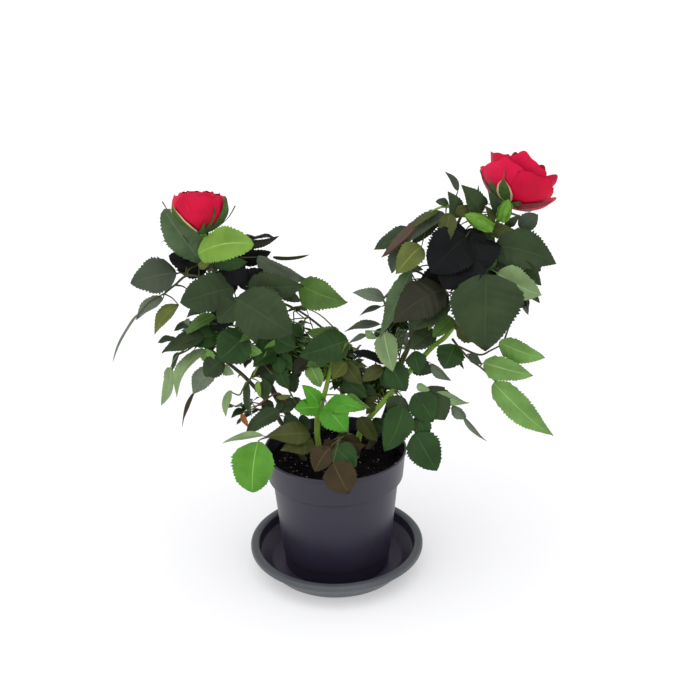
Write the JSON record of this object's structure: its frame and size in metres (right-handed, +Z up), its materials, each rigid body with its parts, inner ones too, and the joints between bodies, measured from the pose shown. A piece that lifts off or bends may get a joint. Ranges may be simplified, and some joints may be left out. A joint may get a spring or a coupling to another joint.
{
  "type": "potted rose bush",
  "caption": "Miniature rose bush in a round plastic nursery pot with a saucer: tall flowering shoots rise over a low leafy heart, each with a red bloom.",
  "frame": {"origin": "centre of the saucer's flat underside, on the surface it stands on", "axes": "+Z up, -Y the front that the picture shows, +X towards the taller open bloom"},
  "size_m": [0.368, 0.1644, 0.3595],
  "materials": {
    "saucer_plastic": "satin",
    "pot_plastic": "satin",
    "soil": "matte",
    "young_cane": "satin",
    "woody_cane": "matte",
    "petals": "matte",
    "foliage": "matte"
  },
  "bodies": {
    "root": {"saucer": "saucer_plastic", "pot": "pot_plastic", "soil": "soil", "cane_right": "young_cane", "cane_centre": "young_cane", "cane_right_back": "woody_cane", "cane_left": "woody_cane", "cane_left_low": "woody_cane", "cane_back": "woody_cane", "bloom_left": "petals", "bloom_right": "petals", "crown_left": "foliage", "wing_left": "foliage", "front_left": "foliage", "wing_middle": "foliage", "skirt_left": "foliage", "heart_left": "foliage", "heart_centre": "foliage", "heart_right": "foliage", "fringe_left": "foliage", "young_leaves": "foliage", "skirt_right": "foliage", "rim_left": "foliage", "rim_front": "foliage", "shoulder_right": "foliage", "wing_inner": "foliage", "crown_right": "foliage", "wing_right": "foliage", "top_right": "foliage", "tip_right": "foliage", "back_left": "foliage", "back_right": "foliage", "back_low": "foliage"}
  },
  "joints": []
}
